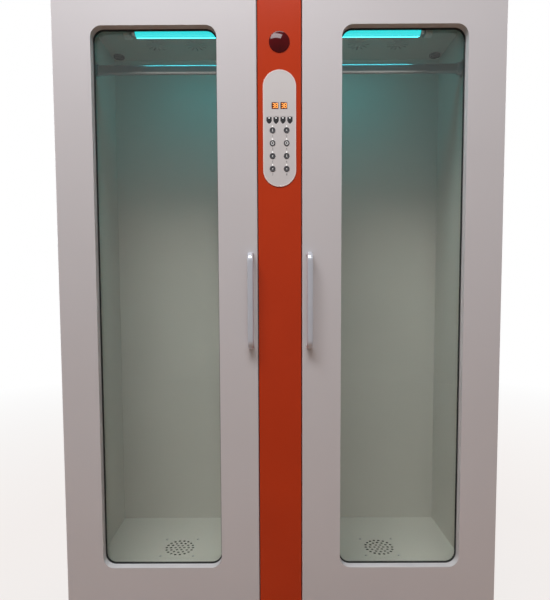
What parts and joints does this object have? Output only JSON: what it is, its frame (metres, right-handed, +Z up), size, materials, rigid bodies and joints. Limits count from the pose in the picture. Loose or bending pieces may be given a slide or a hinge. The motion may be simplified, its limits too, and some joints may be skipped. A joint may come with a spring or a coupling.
{
  "type": "drying cabinet",
  "caption": "Two-door warm-air drying and disinfecting cabinet with windows, a hanging rail, a lamp, floor fans and a centre control fascia.",
  "frame": {"origin": "on the floor, under the centre of the overall box from the handles to the rear panel", "axes": "+X to the right seen from the front, -Y towards the user, +Z up"},
  "size_m": [1.2, 0.531, 1.9],
  "materials": {
    "casing_paint": "textured powder coat, cool white",
    "liner_paint": "smooth powder coat, pale grey",
    "fascia_lacquer": "gloss lacquer, orange red",
    "plate_acrylic": "satin overlay, pale grey",
    "lens_red": "gloss, dark red",
    "display_amber": "smoked window with amber figures",
    "lamp_icon_grey": "gloss, dark grey",
    "key_grey": "satin, dark grey",
    "board_green": "solder mask",
    "rail_steel": "polished",
    "lamp_glass": "clear quartz glass with a cyan glow",
    "cap_aluminium": "satin",
    "holder_white": "moulded",
    "fan_black": "moulded, glass filled",
    "zinc_steel": "zinc plated",
    "port_grey": "moulded, dark grey",
    "inlet_black": "moulded",
    "foot_rubber": "moulded, with a zinc stem",
    "tinted_glass": "toughened, grey green tint",
    "gasket_rubber": "extruded",
    "seal_vinyl": "extruded, magnetic core",
    "handle_silver": "satin",
    "bush_nylon": "moulded"
  },
  "bodies": {
    "cabinet": {"left_side_panel": "casing_paint", "right_side_panel": "casing_paint", "base_tray": "casing_paint", "top_panel": "casing_paint", "rear_panel": "casing_paint", "centre_post": "casing_paint", "liner_left": "liner_paint", "liner_right": "liner_paint", "liner_back": "liner_paint", "liner_floor": "liner_paint", "liner_ceiling": "liner_paint", "fascia_panel": "fascia_lacquer", "control_plate": "plate_acrylic", "status_lens": "lens_red", "display_modules": "display_amber", "indicator_lamps": "lamp_icon_grey", "control_board": "board_green", "hanging_rail": "rail_steel", "rail_supports": "rail_steel", "uv_lamp_tube": "lamp_glass", "uv_lamp_caps": "cap_aluminium", "heater_left": "cap_aluminium", "heater_right": "cap_aluminium", "lamp_holders": "holder_white", "fan_housing_left": "fan_black", "fan_housing_right": "fan_black", "vent_screws": "zinc_steel", "upper_hinges": "zinc_steel", "lower_hinges": "zinc_steel", "lamp_ballast": "zinc_steel", "power_supply": "zinc_steel", "ozone_generator": "zinc_steel", "ozone_nozzles": "port_grey", "power_inlet": "inlet_black", "levelling_feet": "foot_rubber"},
    "left_door": {"left_door_skin": "casing_paint", "left_door_inner_pan": "casing_paint", "left_door_glass": "tinted_glass", "left_glass_gasket": "gasket_rubber", "left_magnetic_seal": "seal_vinyl", "left_door_handle": "handle_silver", "left_hinge_bushes": "bush_nylon"},
    "right_door": {"right_door_skin": "casing_paint", "right_door_inner_pan": "casing_paint", "right_door_glass": "tinted_glass", "right_glass_gasket": "gasket_rubber", "right_magnetic_seal": "seal_vinyl", "right_door_handle": "handle_silver", "right_hinge_bushes": "bush_nylon"},
    "left_rotor": {"fan_rotor_left": "fan_black"},
    "right_rotor": {"fan_rotor_right": "fan_black"},
    "key_1": {"key_1": "key_grey"},
    "key_2": {"key_2": "key_grey"},
    "key_3": {"key_3": "key_grey"},
    "key_4": {"key_4": "key_grey"},
    "key_5": {"key_5": "key_grey"},
    "key_6": {"key_6": "key_grey"},
    "key_7": {"key_7": "key_grey"},
    "key_8": {"key_8": "key_grey"}
  },
  "joints": [
    {"name": "left_door_hinge", "type": "hinge", "parent": "cabinet", "child": "left_door", "pos_m": [-0.587, -0.2125, 0.98], "axis": [0, 0, -1], "range_deg": [0, 115]},
    {"name": "right_door_hinge", "type": "hinge", "parent": "cabinet", "child": "right_door", "pos_m": [0.587, -0.2125, 0.98], "axis": [0, 0, 1], "range_deg": [0, 115]},
    {"name": "left_fan_spin", "type": "hinge", "parent": "cabinet", "child": "left_rotor", "pos_m": [-0.33, 0.0235, 0.15], "axis": [0, 0, 1], "continuous": true},
    {"name": "right_fan_spin", "type": "hinge", "parent": "cabinet", "child": "right_rotor", "pos_m": [0.33, 0.0235, 0.15], "axis": [0, 0, 1], "continuous": true},
    {"name": "key_1_press", "type": "slide", "parent": "cabinet", "child": "key_1", "axis": [0, 1, 0], "range_m": [0, 0.0008], "stiffness_N_per_m": 1000, "springref_m": -0.0003},
    {"name": "key_2_press", "type": "slide", "parent": "cabinet", "child": "key_2", "axis": [0, 1, 0], "range_m": [0, 0.0008], "stiffness_N_per_m": 1000, "springref_m": -0.0003},
    {"name": "key_3_press", "type": "slide", "parent": "cabinet", "child": "key_3", "axis": [0, 1, 0], "range_m": [0, 0.0008], "stiffness_N_per_m": 1000, "springref_m": -0.0003},
    {"name": "key_4_press", "type": "slide", "parent": "cabinet", "child": "key_4", "axis": [0, 1, 0], "range_m": [0, 0.0008], "stiffness_N_per_m": 1000, "springref_m": -0.0003},
    {"name": "key_5_press", "type": "slide", "parent": "cabinet", "child": "key_5", "axis": [0, 1, 0], "range_m": [0, 0.0008], "stiffness_N_per_m": 1000, "springref_m": -0.0003},
    {"name": "key_6_press", "type": "slide", "parent": "cabinet", "child": "key_6", "axis": [0, 1, 0], "range_m": [0, 0.0008], "stiffness_N_per_m": 1000, "springref_m": -0.0003},
    {"name": "key_7_press", "type": "slide", "parent": "cabinet", "child": "key_7", "axis": [0, 1, 0], "range_m": [0, 0.0008], "stiffness_N_per_m": 1000, "springref_m": -0.0003},
    {"name": "key_8_press", "type": "slide", "parent": "cabinet", "child": "key_8", "axis": [0, 1, 0], "range_m": [0, 0.0008], "stiffness_N_per_m": 1000, "springref_m": -0.0003}
  ]
}
